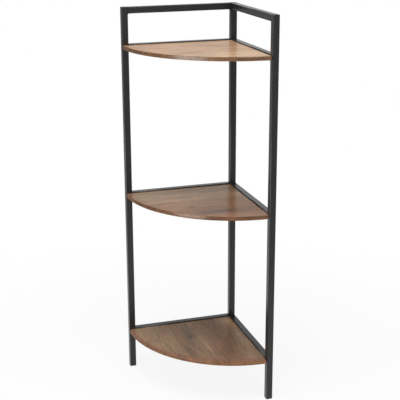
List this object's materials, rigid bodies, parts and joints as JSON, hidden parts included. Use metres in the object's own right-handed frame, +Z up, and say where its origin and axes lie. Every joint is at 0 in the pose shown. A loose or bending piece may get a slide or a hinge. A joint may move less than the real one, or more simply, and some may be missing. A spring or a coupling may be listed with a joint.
{
  "type": "corner shelf unit",
  "caption": "Tall corner shelf unit: a black square-tube frame carries quarter-round wooden boards on welded tabs, with a guard rail above the top board.",
  "frame": {"origin": "on the floor, under the middle of the square footprint", "axes": "+Z up; the two side frames stand against walls at +Y (left side frame, along X) and at +X (right side frame, along Y), so the room's corner is at +X +Y and the boards' round fronts face -X -Y"},
  "size_m": [0.372, 0.372, 1.197],
  "materials": {
    "frame_steel": "satin black powder coat",
    "shelf_wood": "stained and clear-lacquered, satin",
    "plug_plastic": "fine-grained black",
    "screw_steel": "bright zinc plate"
  },
  "bodies": {
    "root": {"left_post": "frame_steel", "corner_post": "frame_steel", "right_post": "frame_steel", "guard_left_rail": "frame_steel", "guard_right_rail": "frame_steel", "upper_left_rail": "frame_steel", "upper_right_rail": "frame_steel", "middle_left_rail": "frame_steel", "middle_right_rail": "frame_steel", "lower_left_rail": "frame_steel", "lower_right_rail": "frame_steel", "upper_left_tab_1": "frame_steel", "upper_left_tab_2": "frame_steel", "upper_right_tab_1": "frame_steel", "upper_right_tab_2": "frame_steel", "middle_left_tab_1": "frame_steel", "middle_left_tab_2": "frame_steel", "middle_right_tab_1": "frame_steel", "middle_right_tab_2": "frame_steel", "lower_left_tab_1": "frame_steel", "lower_left_tab_2": "frame_steel", "lower_right_tab_1": "frame_steel", "lower_right_tab_2": "frame_steel", "upper_shelf_board": "shelf_wood", "middle_shelf_board": "shelf_wood", "lower_shelf_board": "shelf_wood", "left_foot_plug": "plug_plastic", "corner_foot_plug": "plug_plastic", "right_foot_plug": "plug_plastic", "left_top_plug": "plug_plastic", "corner_top_plug": "plug_plastic", "right_top_plug": "plug_plastic", "upper_left_screw_1": "screw_steel", "upper_left_screw_2": "screw_steel", "upper_right_screw_1": "screw_steel", "upper_right_screw_2": "screw_steel", "middle_left_screw_1": "screw_steel", "middle_left_screw_2": "screw_steel", "middle_right_screw_1": "screw_steel", "middle_right_screw_2": "screw_steel", "lower_left_screw_1": "screw_steel", "lower_left_screw_2": "screw_steel", "lower_right_screw_1": "screw_steel", "lower_right_screw_2": "screw_steel"}
  },
  "joints": []
}
